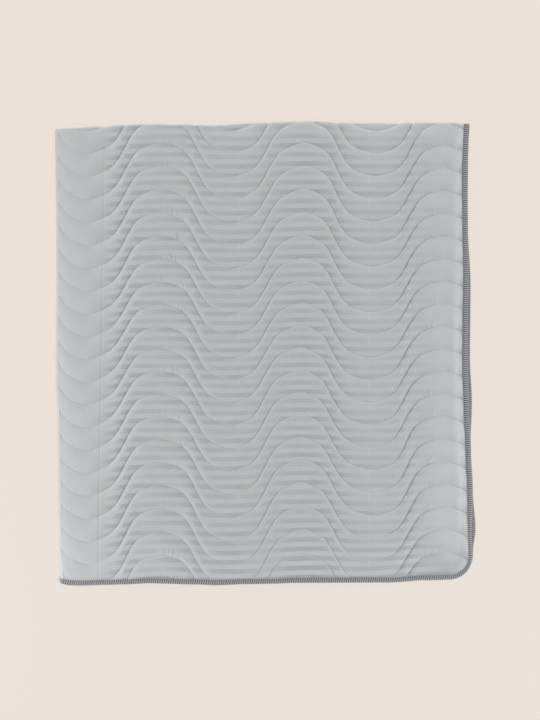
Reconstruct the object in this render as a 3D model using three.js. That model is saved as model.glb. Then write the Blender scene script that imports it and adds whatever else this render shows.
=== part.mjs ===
// A quilted mattress protector for a wide bed, folded in four and lying flat.
// The flat sheet is folded across its length, backs together, and then across its width,
// so that four layers lie on each other. One tape is bound round the whole raw edge.
// Millimetres, +Z up. A place on the flat sheet is (u, v), measured from its middle: u is
// positive on the upper two layers and v on the outer two. A place seen from above is
// (x, down), measured from the left fold and from the top fold.

import * as THREE from 'three';
import { mergeVertices } from 'three/addons/utils/BufferGeometryUtils.js';

const { clamp, lerp, smoothstep, degToRad } = THREE.MathUtils;

// The flat sheet
const halfWidth = 900;
const halfLength = 1000;
const cornerRadius = 46;

// The folded pad seen from above, without the bows of its edges
const foldedWidth = 893.4;
const foldedLength = 996;

// The height that one layer takes up, with its share of the gaps over and under it
const fullRoom = 9.6;
const foldRoom = 8.4;
const edgeRoom = 5.6;
const topDrop = 0.8;
const halfGap = 0.5;

// The two folds: the cloth each one takes up, and how far it stands out against its height
const leftTurn = 20;
const leftBulge = 0.5;
const topTurn = 9;
const topBulge = 0.6;
const turnSteps = 3;

// A pressed crease runs down the pad, and the pad slopes from it to the left fold
const creaseAtTop = 108;
const creaseAtBottom = 92;

// The pad grows thinner towards its bound edge, and a little towards the top fold
const bandInset = 12.6;
const tuckLength = 12;
const slopeStart = 20;
const slopeEnd = 112;
const topSlope = 45;

// The quilting: waving lines one under the other. The stops go across the pad from crest to
// middle height, to trough, to middle height and so on. Between them a line follows a sine
// that is steepened in its middle.
const linePitch = 48.72;
const firstLine = 58.2;
const waveHeight = 60.7;
const waveStops = [
  -79, -2.8, 70.2, 150.4, 226.2, 301.6, 377.3, 452.2, 529.1, 598.2, 683.5, 760.1, 838.8, 913.3,
];
const waveFullness = 0.1;
const waveSteepness = 0.037;
const grooveDepth = 3.2;
const foldGrooveShare = 0.35;
const puffRoundness = 0.5;
const firstRow = -3;
const lastRow = 22;
const rowsInPitch = [0, 0.17, 0.5, 0.83];
const rowPasses = 6;

// The bound edge: the pad inside the tape, and the tape
const padEdge = { under: 1.75, over: 3.85 };
const tape = { under: 0.5, over: 5.1, wall: 0.8, lip: 9.6, spare: 0.5, round: 0.7 };
const tapeReach = tape.spare + tape.wall;

// Spacing of the points that the surfaces are built on
const columnSpacing = 31;
const sideSpacing = 62;
const plainSpacing = 250;
const cornerSteps = 5;
const leastStep = 4;

// How far each edge bows, as rows of [distance along the edge, bow]. Left and right bows
// are to the right, top bows are up, and bottom bows are down.
const leftBow = [
  [0, -4], [89, -2.6], [196, -1.3], [369, -1], [458, -2.2], [541, -3],
  [628, 0.4], [718, 2], [903, 4], [945, 2.4], [996, 0.8],
];
const outerRightBow = [
  [0, 0.9], [39, -1.1], [100, -3.7], [219, -2.6], [328, -0.9], [447, -2.6],
  [523, -3], [625, 0], [718, 4.1], [805, 7.6], [903, 5.5], [996, 4],
];
const innerRightBow = [
  [0, 0.5], [100, -4.2], [219, -2.2], [353, 3.7], [512, 2.4], [610, 6.6],
  [700, 4], [805, 8.7], [892, 14.5], [940, 9], [996, 8],
];
const lowerRightBow = [[0, -1], [500, -5], [996, 2]];
const topBow = [
  [0, -10.5], [93, -6.7], [158, -2], [202, -0.4], [276, -2.2], [349, -2.8], [434, 1.6],
  [549, 5.8], [614, 2], [708, 0.6], [794, 2.2], [858, 3], [893, 1.4],
];
const bottomBow = [
  [0, 0.5], [9, 3.2], [17, 4.4], [40, 5], [90, 3.5], [140, 2.4], [190, 0], [290, 2.6], [336, 4.2],
  [404, 2], [451, 1.1], [516, -0.9], [712, -1.6], [792, -6.5], [907, -11],
];
const hiddenBottomBow = [[0, -8], [450, -5], [907, -13]];

// The outer layers' bottom edge is drawn up where it goes round the left fold
const bottomCurl = 5;
const curlSharpness = 8;

function bowAt(table, distance) {
  if (distance <= table[0][0]) return table[0][1];
  for (let row = 1; row < table.length; row += 1) {
    const [before, bowBefore] = table[row - 1];
    const [after, bowAfter] = table[row];
    if (distance <= after) return lerp(bowBefore, bowAfter, smoothstep(distance, before, after));
  }
  return table[table.length - 1][1];
}

function insetFromRoundedEdge(fromSide, fromEnd) {
  const side = cornerRadius - fromSide;
  const end = cornerRadius - fromEnd;
  const outside = Math.hypot(Math.max(side, 0), Math.max(end, 0));
  return cornerRadius - outside - Math.min(Math.max(side, end), 0);
}

// The height of one layer at a place seen from above, the same for all four layers
function roomAt(x, down) {
  const crease = lerp(creaseAtTop, creaseAtBottom, down / foldedLength);
  const foldStart = bowAt(leftBow, down) + leftBulge * 2 * foldRoom;
  const offCrease = 1 - clamp((x - foldStart) / (crease - foldStart), 0, 1);
  const offTop = 1 - clamp(down / topSlope, 0, 1);
  const room = fullRoom - (fullRoom - foldRoom) * offCrease ** 2 - topDrop * offTop ** 2;
  const fromSide = foldedWidth - tapeReach + bowAt(outerRightBow, down) - x;
  const fromEnd = foldedLength - tapeReach + bowAt(bottomBow, x) - down;
  const inset = insetFromRoundedEdge(fromSide, fromEnd);
  const offPlateau = 1 - clamp((inset - slopeStart) / (slopeEnd - slopeStart), 0, 1);
  return lerp(room, edgeRoom, offPlateau ** 2);
}

// Where a place on the flat sheet lies after both folds, before the folds' own roundness
function foldedPlace(u, v) {
  const leftAngle = Math.PI / 2 * (1 - clamp(u / leftTurn, -1, 1));
  const topAngle = Math.PI / 2 * (1 - clamp(v / topTurn, -1, 1));
  const lower = (1 - Math.cos(leftAngle)) / 2;
  const inner = (1 - Math.cos(topAngle)) / 2;
  const across = Math.max(Math.abs(u) - leftTurn, 0) / (halfWidth - leftTurn);
  const along = Math.max(Math.abs(v) - topTurn, 0) / (halfLength - topTurn);
  const sideways = across * foldedWidth;
  const downwards = along * foldedLength;

  const left = bowAt(leftBow, downwards) + leftBulge * 2 * foldRoom;
  const upperBow = lerp(bowAt(outerRightBow, downwards), bowAt(innerRightBow, downwards), inner);
  const right = foldedWidth - tapeReach + lerp(upperBow, bowAt(lowerRightBow, downwards), lower);
  const top = topBulge * fullRoom - bowAt(topBow, sideways);
  const seen = (1 - lower) * (1 - inner);
  const endBow = lerp(bowAt(hiddenBottomBow, sideways), bowAt(bottomBow, sideways), seen);
  const bottom = foldedLength - tapeReach + endBow;
  const curl = bottomCurl * Math.sin(leftAngle) ** 2 * (1 - inner) * along ** curlSharpness;

  const x = lerp(left, right, across);
  const down = lerp(top, bottom, along) - curl;
  return { x, down, leftAngle, topAngle, lower, inner, room: roomAt(x, down) };
}

// Lift is the height over the middle of the gap between the two layers that face each
// other with their backs. The lowest layer settles the last half gap onto the floor.
function raise(place, lift) {
  const settled = lift + halfGap * place.lower * (1 - place.inner);
  const fromMiddle = place.room + settled * Math.cos(place.topAngle);
  const x = place.x - leftBulge * fromMiddle * Math.sin(place.leftAngle);
  const y = topBulge * settled * Math.sin(place.topAngle) - place.down;
  const z = 2 * place.room + fromMiddle * Math.cos(place.leftAngle);
  return new THREE.Vector3(x, y, Math.max(z, 0));
}

// The height of a quilting line over its own middle height
function waveAt(x) {
  const after = clamp(waveStops.findIndex((stop) => stop > x), 1, waveStops.length - 1);
  const before = after - 1;
  const share = (x - waveStops[before]) / (waveStops[after] - waveStops[before]);
  const extreme = before % 2 === 0 ? before : after;
  const fromMiddle = (before === extreme ? 1 - share : share) * Math.PI / 2;
  const shape = (1 + waveFullness - waveSteepness) * Math.sin(fromMiddle)
    + waveFullness * Math.sin(3 * fromMiddle) + waveSteepness * Math.sin(5 * fromMiddle);
  return (extreme % 4 === 0 ? 1 : -1) * waveHeight * shape;
}

// Quilting lines lie where this is a whole number
function lineNumber(u, v) {
  const place = foldedPlace(u, v);
  const unrolled = place.x - Math.max(leftTurn - u, 0);
  return (place.down - firstLine + waveAt(unrolled)) / linePitch;
}

function tuckAt(u, v) {
  const inset = insetFromRoundedEdge(halfWidth - Math.abs(u), halfLength - Math.abs(v));
  return smoothstep(inset, bandInset, bandInset + tuckLength);
}

function grooveAt(u, v) {
  const quilted = u >= 0 && v >= topTurn;
  if (!quilted) return 0;
  const puff = Math.abs(Math.sin(Math.PI * lineNumber(u, v))) ** puffRoundness;
  const share = lerp(foldGrooveShare, 1, smoothstep(u, 0, leftTurn));
  return share * grooveDepth * (1 - puff);
}

function frontAt(u, v) {
  const place = foldedPlace(u, v);
  const crown = place.room - halfGap - grooveAt(u, v);
  return raise(place, lerp(padEdge.over, crown, tuckAt(u, v)));
}

function backAt(u, v) {
  return raise(foldedPlace(u, v), lerp(padEdge.under, halfGap, tuckAt(u, v)));
}

// Numbers from one end to the other, evenly spaced at the spacing or a little less
function evenly(start, end, spacing) {
  const count = Math.ceil((end - start) / spacing);
  return Array.from({ length: count + 1 }, (unused, step) => lerp(start, end, step / count));
}

function turnStations(turn) {
  return Array.from({ length: turnSteps + 1 }, (unused, step) => turn * step / turnSteps);
}

// Distances in from the edge at which the rounded corner of the band has its points
const bandRadius = cornerRadius - bandInset;
const cornerAngles = Array.from(
  { length: cornerSteps + 1 },
  (unused, step) => degToRad(90 * step / cornerSteps),
);
const cornerInsets = cornerAngles.map((angle) => cornerRadius - bandRadius * Math.cos(angle));

// Stations from a fold out to the band, at a spacing that suits what shows there
function stations(turn, half, spacing) {
  const middle = evenly(turn, half - slopeEnd, spacing);
  const onSlope = half - (slopeEnd + cornerRadius) / 2;
  const edge = cornerInsets.map((inset) => half - inset).reverse();
  return [...turnStations(turn).slice(0, -1), ...middle, onSlope, ...edge];
}

const seenColumns = stations(leftTurn, halfWidth, columnSpacing);
const plainColumns = stations(leftTurn, halfWidth, plainSpacing);
const sideRows = stations(topTurn, halfLength, sideSpacing);
const plainRows = stations(topTurn, halfLength, plainSpacing);

function bandEnd(u) {
  const intoCorner = Math.max(Math.abs(u) - (halfWidth - cornerRadius), 0);
  const rise = Math.sqrt(Math.max(bandRadius ** 2 - intoCorner ** 2, 0));
  return halfLength - cornerRadius + rise;
}

function plainHalfColumn(u) {
  const end = bandEnd(u);
  const rows = (u >= 0 ? sideRows : plainRows).filter((v) => v < end - leastStep);
  return [...rows, end];
}

// The rows of the top layer follow the quilting lines
function quiltedHalfColumn(u) {
  const end = bandEnd(u);
  const rows = [];
  for (let line = firstRow; line <= lastRow; line += 1) {
    for (const share of rowsInPitch) {
      let v = linePitch * (line + share);
      for (let pass = 0; pass < rowPasses; pass += 1) {
        v += linePitch * (line + share - lineNumber(u, v));
        v = clamp(v, topTurn, halfLength);
      }
      if (v > topTurn + leastStep && v < end - leastStep) rows.push(v);
    }
  }
  return [...turnStations(topTurn), ...rows, end];
}

// Joins two lines of points with triangles, taking the next point by the smaller key
function zip(triangles, first, second) {
  let i = 0;
  let j = 0;
  while (i < first.length - 1 || j < second.length - 1) {
    const firstDone = i === first.length - 1;
    const secondDone = j === second.length - 1;
    const stepFirst = secondDone || (!firstDone && first[i + 1].key <= second[j + 1].key);
    if (stepFirst) {
      triangles.push(first[i].point, first[i + 1].point, second[j].point);
      i += 1;
    } else {
      triangles.push(first[i].point, second[j + 1].point, second[j].point);
      j += 1;
    }
  }
}

function columnLine(u, rows, surfaceAt, keyAt) {
  return rows.map((v) => ({ point: surfaceAt(u, v), key: keyAt(u, v) }));
}

const byDistance = (u, v) => v;

// The front of the pad is seen on the top layer, where its rows follow the quilting
function addFront(triangles) {
  const columns = [...plainColumns.slice(1).reverse().map((u) => -u), ...seenColumns];
  for (let index = 1; index < columns.length; index += 1) {
    const before = columns[index - 1];
    const after = columns[index];
    const lines = [before, after].map((u) => {
      const inner = plainHalfColumn(u).map((v) => -v).reverse();
      return columnLine(u, [...inner, ...turnStations(topTurn).slice(1)], frontAt, byDistance);
    });
    zip(triangles, lines[0], lines[1]);
    const key = before >= 0 ? lineNumber : byDistance;
    const outer = [before, after].map((u) => {
      const rows = u >= 0 ? quiltedHalfColumn(u) : plainHalfColumn(u);
      return columnLine(u, rows.filter((v) => v >= topTurn), frontAt, key);
    });
    zip(triangles, outer[0], outer[1]);
  }
}

function addBack(triangles) {
  const columns = [...plainColumns.slice(1).reverse().map((u) => -u), ...plainColumns];
  const lines = columns.map((u) => {
    const half = plainHalfColumn(u);
    const rows = [...half.slice(1).reverse().map((v) => -v), ...half];
    return columnLine(u, rows, backAt, byDistance);
  });
  for (let index = 1; index < lines.length; index += 1) {
    zip(triangles, lines[index], lines[index - 1]);
  }
}

// The raw edge of one quarter of the sheet, from the top fold round to the left fold.
// Each station has its place on the flat sheet and the outward direction there.
function quarterEdge(uSign, vSign) {
  const rows = uSign > 0 ? sideRows : plainRows;
  const columns = uSign > 0 && vSign > 0 ? seenColumns : plainColumns;
  const side = rows.filter((v) => v < halfLength - cornerRadius + leastStep)
    .map((v) => ({ u: halfWidth, v, outU: 1, outV: 0 }));
  const corner = cornerAngles.slice(1, -1).map((angle) => ({
    u: halfWidth - cornerRadius * (1 - Math.cos(angle)),
    v: halfLength - cornerRadius * (1 - Math.sin(angle)),
    outU: Math.cos(angle),
    outV: Math.sin(angle),
  }));
  const end = columns.filter((u) => u < halfWidth - cornerRadius + leastStep)
    .map((u) => ({ u, v: halfLength, outU: 0, outV: 1 })).reverse();
  return [...side, ...corner, ...end].map((station) => ({
    u: uSign * station.u,
    v: vSign * station.v,
    outU: uSign * station.outU,
    outV: vSign * station.outV,
  }));
}

// The distance along the edge of a quarter, from the top fold, for a point on it or in it
function edgeDistance(u, v) {
  const straightSide = halfLength - cornerRadius;
  const straightEnd = halfWidth - cornerRadius;
  const intoU = Math.abs(u) - straightEnd;
  const intoV = Math.abs(v) - straightSide;
  if (intoV <= 0) return Math.abs(v);
  if (intoU <= 0) return straightSide + cornerRadius * Math.PI / 2 - intoU;
  return straightSide + cornerRadius * Math.atan2(intoV, intoU);
}

function bandLine(uSign, vSign, rows, columns, surfaceAt) {
  const outermost = columns[columns.length - 1];
  const side = rows(uSign * outermost).map((v) => [uSign * outermost, vSign * v]);
  const end = columns.slice(0, -1).reverse().map((u) => [uSign * u, vSign * bandEnd(u)]);
  return [...side, ...end]
    .map(([u, v]) => ({ point: surfaceAt(u, v), key: edgeDistance(u, v) }));
}

// The thin rim inside the tape, and the raw edge itself
function addRim(triangles) {
  for (const uSign of [1, -1]) {
    for (const vSign of [1, -1]) {
      const seen = uSign > 0 && vSign > 0;
      const frontRows = seen ? quiltedHalfColumn : plainHalfColumn;
      const frontColumns = uSign > 0 ? seenColumns : plainColumns;
      const frontBand = bandLine(uSign, vSign, frontRows, frontColumns, frontAt);
      const backBand = bandLine(uSign, vSign, plainHalfColumn, plainColumns, backAt);
      const edge = quarterEdge(uSign, vSign);
      const frontEdge = edge
        .map(({ u, v }) => ({ point: frontAt(u, v), key: edgeDistance(u, v) }));
      const backEdge = edge.map(({ u, v }) => ({ point: backAt(u, v), key: edgeDistance(u, v) }));
      const loops = [frontBand, frontEdge, backEdge, backBand];
      if (uSign * vSign < 0) loops.reverse();
      for (let index = 1; index < loops.length; index += 1) {
        zip(triangles, loops[index - 1], loops[index]);
      }
    }
  }
}

function solid(name, triangles, material) {
  const loose = new THREE.BufferGeometry().setFromPoints(triangles);
  const mesh = new THREE.Mesh(mergeVertices(loose, 0.001), material);
  mesh.name = name;
  return mesh;
}

function quiltedPad() {
  const triangles = [];
  addFront(triangles);
  addBack(triangles);
  addRim(triangles);
  const cloth = new THREE.MeshStandardMaterial({ color: 0xbabdbf, roughness: 0.6, metalness: 0 });
  return solid('quilted_pad', triangles, cloth);
}

// The tape's section round the raw edge, as [inset from the edge, lift]
function tapeSection() {
  const { under, over, wall, lip, spare, round } = tape;
  return [
    [lip, over],
    [0, over],
    [-tapeReach, over - round],
    [-tapeReach, under + round],
    [0, under],
    [lip, under],
    [lip, under + wall],
    [-spare, under + wall],
    [-spare, over - wall],
    [lip, over - wall],
  ];
}

// The tape closes into one loop round all four quarters of the sheet
function binding() {
  const loop = [
    ...quarterEdge(1, 1).slice(0, -1),
    ...quarterEdge(-1, 1).reverse().slice(0, -1),
    ...quarterEdge(-1, -1).slice(0, -1),
    ...quarterEdge(1, -1).reverse().slice(0, -1),
  ];
  const section = tapeSection();
  const rings = loop.map(({ u, v, outU, outV }) => section.map(([inset, lift]) => (
    raise(foldedPlace(u - inset * outU, v - inset * outV), lift)
  )));
  const triangles = [];
  rings.forEach((ring, index) => {
    const next = rings[(index + 1) % rings.length];
    ring.forEach((corner, place) => {
      const beside = (place + 1) % ring.length;
      triangles.push(corner, next[place], next[beside]);
      triangles.push(corner, next[beside], ring[beside]);
    });
  });
  const ribbed = new THREE.MeshStandardMaterial({ color: 0x858388, roughness: 0.8, metalness: 0 });
  return solid('binding', triangles, ribbed);
}

// The whole part stands on the floor with its box centred on the origin
const protector = new THREE.Group();
protector.add(quiltedPad(), binding());
const box = new THREE.Box3().setFromObject(protector);
protector.position.set(-(box.min.x + box.max.x) / 2, -(box.min.y + box.max.y) / 2, -box.min.z);

export default protector;
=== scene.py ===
"""A quilted mattress protector, folded in four, on a pale floor, seen from straight above.

The flat sheet is folded across its length, backs together, and then across its width. A
place on the flat sheet is (u, v), measured from its middle: u is positive on the upper two
layers and v on the outer two. A place seen from above is (x, down), measured from the left
fold and from the top fold. Sizes are in millimetres until a mesh is made from them.
"""

import math

import bpy
import numpy as np
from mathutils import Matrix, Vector


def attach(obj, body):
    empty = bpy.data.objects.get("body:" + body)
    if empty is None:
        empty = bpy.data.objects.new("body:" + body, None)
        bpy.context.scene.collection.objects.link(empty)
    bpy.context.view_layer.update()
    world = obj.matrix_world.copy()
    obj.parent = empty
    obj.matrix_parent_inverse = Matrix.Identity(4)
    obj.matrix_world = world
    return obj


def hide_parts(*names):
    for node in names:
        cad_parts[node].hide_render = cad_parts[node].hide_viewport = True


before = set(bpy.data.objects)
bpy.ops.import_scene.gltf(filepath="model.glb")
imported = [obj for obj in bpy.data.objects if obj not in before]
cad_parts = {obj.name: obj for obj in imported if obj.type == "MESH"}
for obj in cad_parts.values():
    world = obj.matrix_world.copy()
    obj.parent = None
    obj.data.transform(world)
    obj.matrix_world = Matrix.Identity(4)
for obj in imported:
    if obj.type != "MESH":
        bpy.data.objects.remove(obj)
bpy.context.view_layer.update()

METRE = 0.001

# The flat sheet
HALF_WIDTH = 900.0
HALF_LENGTH = 1000.0
CORNER_RADIUS = 46.0

# The folded pad seen from above, without the bows of its edges
FOLDED_WIDTH = 893.4
FOLDED_LENGTH = 996.0

# The height that one layer takes up, with its share of the gaps over and under it
FULL_ROOM = 9.6
FOLD_ROOM = 8.4
EDGE_ROOM = 5.6
TOP_DROP = 0.8
HALF_GAP = 0.5

# The two folds: the cloth each one takes up, and how far it stands out against its height
LEFT_TURN = 20.0
LEFT_BULGE = 0.5
TOP_TURN = 9.0
TOP_BULGE = 0.6

# A pressed crease runs down the pad, and the pad slopes from it to the left fold
CREASE_AT_TOP = 108.0
CREASE_AT_BOTTOM = 92.0

# The pad grows thinner towards its bound edge and a little towards the top fold
BAND_INSET = 10.4
TUCK_LENGTH = 9.0
SLOPE_START = 20.0
SLOPE_END = 112.0
MITRE_ROUNDING = 26.0
TOP_SLOPE = 45.0

# The quilting: waving lines one under the other. The stops go across the pad from crest to
# middle height, to trough, to middle height and so on. Between them a line follows a sine
# that is steepened in its middle.
LINE_PITCH = 48.72
FIRST_LINE = 58.2
WAVE_HEIGHT = 60.7
WAVE_STOPS = np.array([
    -79, -2.8, 70.2, 150.4, 226.2, 301.6, 377.3, 452.2, 529.1, 598.2, 683.5, 760.1, 838.8, 913.3,
])
WAVE_FULLNESS = 0.1
WAVE_STEEPNESS = 0.037
STITCH_DEPTH = 0.15
STITCH_REACH = 1.2
PUFF_DEPTH = 3.2

# The lines are flatter here, as (place across, spread, how far down they are moved)
FLAT_TURNS = [(226.0, 36.0, 3.2), (688.0, 30.0, -3.0), (842.0, 26.0, 3.6)]

# The quilting is shallower beside the left fold and under the tape
FOLD_GROOVE_SHARE = 0.3
FLAT_STRIP_START = 20.0
FLAT_STRIP_END = 85.0
RIM_GROOVE_SHARE = 0.3

# The puffs are steeper below a line where they lean more than 0, and above it where they lean
# less. The rows are (place across, lean, share of the depth).
PUFF_SKEW = 0.72
PUFF_FORMS = np.array([
    (70, 0, 1), (150, 1, 1.25), (226, 0, 0.9), (302, -1, 1.1), (377, 0, 0.8), (452, 1, 0.9),
    (529, 0.7, 0.6), (598, 1, 1), (683, 0.8, 0.5), (720, 1, 0.75), (760, 1, 1.3), (838, 0.2, 0.9),
])

# A soft roll lies inside the tape, as (height, inset, spread), but not in the corner. The
# form at the side takes over from the one at the end within this distance of their meeting.
RIM_PUFF_AT_END = (1.6, 21.0, 8.0)
RIM_PUFF_AT_SIDE = (1.8, 30.0, 13.0)
RIM_PUFF_CHANGE = 24.0
CORNER_SPREAD = 80.0

# The top layer has slow swells and ripples, whose lengths are (across, down). It falls a
# little more where it comes to the left fold.
SWELL_CLEARANCE = 0.4
SWELL_HEIGHT = 0.35
SWELL_LENGTHS = (61, 87)
SWELL_START = 0.7
SWELL_SWAY = 1.3
SWELL_SWAY_LENGTH = 143
RIPPLE_HEIGHT = 0.2
RIPPLE_LENGTHS = [(23, 57), (-79, 31)]
SHOULDER_DEPTH = 0.9
SHOULDER_REACH = 8.0

# How far the cloth has slipped down under its folds, as rows of (down, slip at each place
# across), with the places across first
SLIP_PLACES = (40.0, 140.0, 240.0, 520.0, 650.0, 760.0)
CLOTH_SLIP = [
    (70, -2, -4.5, -5, -2, 0, 0),
    (240, 0, -0.5, -0.5, 2.5, 0, 0),
    (330, 2, 1, 1.5, 2.5, 0.5, 0),
    (500, 5, -2.5, -0.5, 0.5, 1, 0),
    (600, 5.5, -4, -1, -1.5, 0, 0),
    (760, 7, -0.5, 1, -2.5, -1.5, 0),
    (930, 6.5, 5, 5.5, 5, 3, 0),
    (985, 6.5, 7.5, 6.5, 8.5, 5, 0),
]

# How far the quilting lines wander to the right, in rows like those of the slip
WANDER_PLACES = (20.0, 150.0, 300.0, 455.0, 600.0, 760.0, 850.0)
LINE_WANDER = [
    (60, 0, -1, 1.5, 4, 13, 6, 0),
    (147, 0, -1, 0.5, 4.5, 9.5, 3, 0),
    (233, 0, -1, 0, 3, 5.5, 1, 0),
    (405, 0, 0, 0.5, 2, 2, -2.5, -1),
    (577, 0, -2, -1, -2, -1.5, -7.5, -3),
    (664, 0, -2, -0.5, -1, -1, -6.5, -3),
    (750, 0, -1.5, 0, 1, 1, 0, 0),
    (836, 0, -1, -1.5, 2, 4, 3, 1),
    (922, 0, 0, -2, 2.5, 6, 1, 0),
    (980, 0, 0.5, 0, 2, 9, -2, 0),
]

# How far each edge bows, as rows of (distance along the edge, bow). Left and right bows
# are to the right, top bows are up, and bottom bows are down.
LEFT_BOW = [
    (0, -4), (89, -2.6), (196, -1.3), (369, -1), (458, -2.2), (541, -3),
    (628, 0.4), (718, 2), (903, 4), (945, 3.6), (996, 2.8),
]
OUTER_RIGHT_BOW = [
    (0, 0.9), (39, -1.1), (100, -3.7), (219, -2.6), (328, -0.9), (447, -2.6),
    (523, -3), (625, 0), (718, 4.1), (805, 7.6), (903, 5.5), (996, 7),
]
INNER_RIGHT_BOW = [
    (0, 0.5), (100, -4.2), (219, -2.2), (353, 3.7), (512, 2.4), (610, 6.6),
    (700, 4), (805, 8.7), (892, 14.5), (940, 9), (996, 8),
]
LOWER_RIGHT_BOW = [(0, -1), (500, -5), (996, 2)]
TOP_BOW = [
    (0, -10.5), (93, -6.7), (158, -2), (202, -0.4), (276, -2.2), (349, -2.8), (434, 1.6),
    (549, 5.8), (614, 2), (708, 0.6), (794, 2.2), (858, 3), (893, 1.4),
]
BOTTOM_BOW = [
    (0, 0.5), (9, 3.2), (17, 4.4), (26, 4.8), (40, 5), (90, 3.5), (140, 2.4), (190, 0),
    (290, 2.6), (336, 4.2), (404, 2), (451, 1.1), (516, -0.9), (712, -1.6), (792, -6.5),
    (907, -10),
]
HIDDEN_BOTTOM_BOW = [(0, -8), (450, -5), (907, -13)]

# The outer layers' bottom edge is drawn up where it goes round the left fold
BOTTOM_CURL = 3.5
CURL_SHARPNESS = 8

# Near the lower right corner the top layer bulges out over its tape
OVERHANG = 5.0
OVERHANG_PLACE = 935.0
OVERHANG_SPREAD = 75.0
OVERHANG_DEPTH = 55.0

# The heights of the pad inside the tape and of the tape, over the middle between two layers
PAD_UNDER = 1.75
PAD_OVER = 3.85
TAPE_UNDER = 0.5
TAPE_OVER = 5.1
TAPE_MIDDLE = (TAPE_OVER + TAPE_UNDER) / 2

# The tape's section: its wall, how far it reaches in and out, the places that keep its upper
# face flat, where its turn round the edge starts, and its two lips' bevels
TAPE_WALL = 0.8
TAPE_LIP = 9.6
TAPE_SPARE = 0.5
TAPE_REACH = TAPE_SPARE + TAPE_WALL
FACE_PLACES = (6.6, 3.8)
TAPE_TURN_START = 1.2
OVER_BEVEL = (0.6, 0.3)
UNDER_BEVEL = (0.5, 0.25)

# The ribs across the tape, shallower at its lips and fading to its middle height
RIB_PITCH = 4.7
RIB_STEPS = 4
RIB_DEPTH = 0.7
LIP_RIB_SHARE = 0.4
RIB_FADE = 1.5

# The tape's seen face is crowned. Its lip reaches further in at the sides, and less far
# where it goes round the left fold.
TAPE_CROWN = 0.8
SIDE_LIP = 1.4
SIDE_LIP_START = 5
LIP_DRAWN_IN_AT_FOLD = 0.55
FOLD_SPREAD = 15.0

# How finely the pad is divided: steps round its corners and folds, spacings between them,
# rows under each quilting line, and the least distances to the ends of a column
CORNER_STEPS = 12
LEFT_TURN_STEPS = 7
TOP_TURN_STEPS = 5
SEEN_SPACING = 4.3
UNDER_SPACING = 9.0
PLAIN_COLUMN_SPACING = 60.0
PLAIN_ROW_SPACING = 50.0
PLAIN_SLOPE_SPACING = 14.0
SEEN_ROWS = np.array([0, 1.1, 2.6, 5, 8.5, 14, 24.6, 35.2, 40.7, 44.2, 46.6, 48.1])
UNDER_ROWS = np.array([0, 2, 7, 24.6, 42.2, 47.2])
LEAST_STEP = 0.6
LEAST_PLAIN_STEP = 2

# Rows are looked for under each of these quilting lines but the last, in so many steps, and
# this far past the edge
LINE_NUMBERS = (-3, 24)
ROW_SEARCH_STEPS = 9
ROW_SEARCH_MARGIN = 50

# The satin stripes woven into the cloth, and how soft their edges are. The light tone is
# also the painted sheen, and the dark one the full painted shade.
LIGHT_STRIPE_AND_SHEEN = (0.493, 0.498, 0.498, 1)
DARK_STRIPE_AND_SHADE = (0.376, 0.38, 0.38, 1)
STRIPE_PITCH = 19.65
STRIPE_CENTRE = 495.1
STRIPE_SWAY = 3.1
STRIPE_TILT = 0.0118
STRIPE_TILT_END = 620.0
STRIPE_EDGE = 0.22

# Painted sheen and shade: the cloth's tone is painted light where it leans this much towards
# a window, and painted darker the less it leans towards it. The left window counts at the
# left, and the right one, which lies this way, takes over within this span across.
SHEEN_LEAN = 0.13
RIGHT_WINDOW_WAY = (0.64, 0.77)
WINDOW_CHANGE = (150, 800)

# The painted shade at which the cloth has the tone of the dark stripe, and rows of (place
# across, most painted shade) that hold it lower
FULL_PAINTED_SHADE = 1.8
PAINTED_SHADE_LIMITS = np.array([
    (250, 1.8), (280, 1.4), (330, 1.4), (350, 1.7), (385, 1.7), (410, 1.1), (480, 1.1),
    (510, 1.8),
])

# More painted shade where it leans steeply to the left, and in the lower right corner
STEEP_SHADE = 2.0
STEEP_LEAN = (0.3, 0.8)
CORNER_SHADE = 1.4

# How much of their contrast the stripes have, as rows of (place across, share). The woven
# stripes are the same all over; where they show less, that is painted sheen.
SATIN_SHARES = np.array([
    (98, 0), (116, 0.7), (180, 0.8), (330, 0.82), (377, 1.15), (420, 0.9), (452, 0.57),
    (490, 0.87), (530, 1.17), (580, 0.82), (625, 0.63), (683, 0.6), (720, 0.62), (772, 0.66),
    (800, 0.35), (850, 0.1), (870, 0),
])

# From here to the puckers are the changes to the cloth's tone, as shares of it. A pair is
# the span within which one comes or goes. The first are the cloth's own slow clouds and short
# flecks; the others are painted light and shade, with the stitch lines partly their thread.
CLOUD_SCALE = 0.05
CLOUD_SPAN = (0.3, 0.7)
CLOUD_SHADE = 0.015
FLECK_SCALES = (0.3, 0.55)
FLECK_SPAN = (0.25, 0.75)
FLECK_SHADE = 0.045

# The stitch lines are painted dark: partly their thread and partly painted shade in their
# grooves, deeper at the right and on the steep middle stretch. Beside the side tape they
# don't fade at their turns.
SEAM_SPAN = (0.2, 1.3)
LEFT_SEAM_SHADE = 0.2
RIGHT_SEAM_SHADE = 0.3
SEAM_CHANGE = (640, 740)
STEEP_SEAM_SHADE = 0.09
STEEP_SEAM_START = (385, 420)
STEEP_SEAM_END = (490, 530)
SIDE_SEAM_SHARE = 0.9
SIDE_SEAM_START = (850, 875)

# Painted highlights on the ridges under the lines, with their spans in shares of the pitch
RIDGE_HIGHLIGHT = 0.035
RIDGE_START = (0.01, 0.05)
RIDGE_END = (0.07, 0.17)

# Faint upright creases start under each quilting line at these places across. They have
# no relief and are painted highlights only.
FAINT_CREASES = (394.5, 676.0)
FAINT_CREASE_HIGHLIGHT = 0.08
FAINT_END = (0.3, 0.45)

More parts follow.
